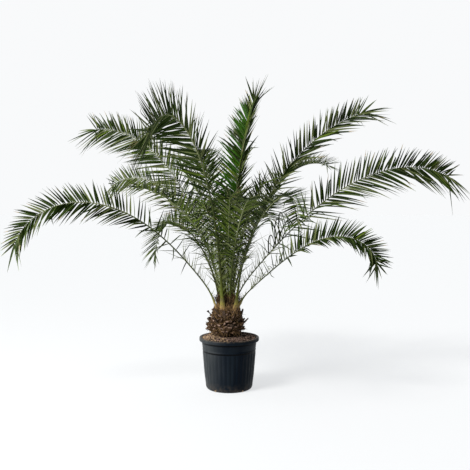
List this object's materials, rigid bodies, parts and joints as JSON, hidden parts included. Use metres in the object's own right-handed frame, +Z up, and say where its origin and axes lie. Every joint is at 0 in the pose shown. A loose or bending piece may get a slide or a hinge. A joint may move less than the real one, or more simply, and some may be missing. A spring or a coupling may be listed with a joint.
{
  "type": "canary island date palm in a nursery pot",
  "caption": "Young feather palm with a short, stout trunk of cut leaf bases and a wide crown of arching fronds, in a round ribbed plastic pot.",
  "frame": {"origin": "middle of the pot's flat underside, on the ground", "axes": "+Z up, +X to the right of the picture, -Y towards its viewer"},
  "size_m": [3.713, 3.0667, 2.3806],
  "materials": {
    "black_plastic": "matte",
    "bark_compost": "rough",
    "cut_leaf_bases": "rough",
    "frond_green": "satin",
    "young_green": "satin"
  },
  "bodies": {
    "root": {"frond_back_high": "frond_green", "frond_back_low_left_end": "frond_green", "frond_back_low_left_foot": "frond_green", "frond_back_low_right_end": "frond_green", "frond_back_low_right_foot": "frond_green", "frond_back_middle": "frond_green", "frond_front_left_end": "frond_green", "frond_front_left_foot": "frond_green", "frond_front_right_end": "frond_green", "frond_front_right_foot": "frond_green", "frond_front_young_left": "frond_green", "frond_front_young_right": "frond_green", "frond_left_drooping_end": "frond_green", "frond_left_drooping_foot": "frond_green", "frond_left_high": "frond_green", "frond_left_low_end": "frond_green", "frond_left_low_foot": "frond_green", "frond_left_middle_end": "frond_green", "frond_left_middle_foot": "frond_green", "frond_right_high": "frond_green", "frond_right_long": "frond_green", "frond_right_low_end": "frond_green", "frond_right_low_foot": "frond_green", "frond_right_small": "frond_green", "frond_spear": "young_green", "frond_young_front": "frond_green", "frond_young_left": "frond_green", "frond_young_right": "frond_green", "pot": "black_plastic", "soil": "bark_compost", "trunk": "cut_leaf_bases"}
  },
  "joints": []
}
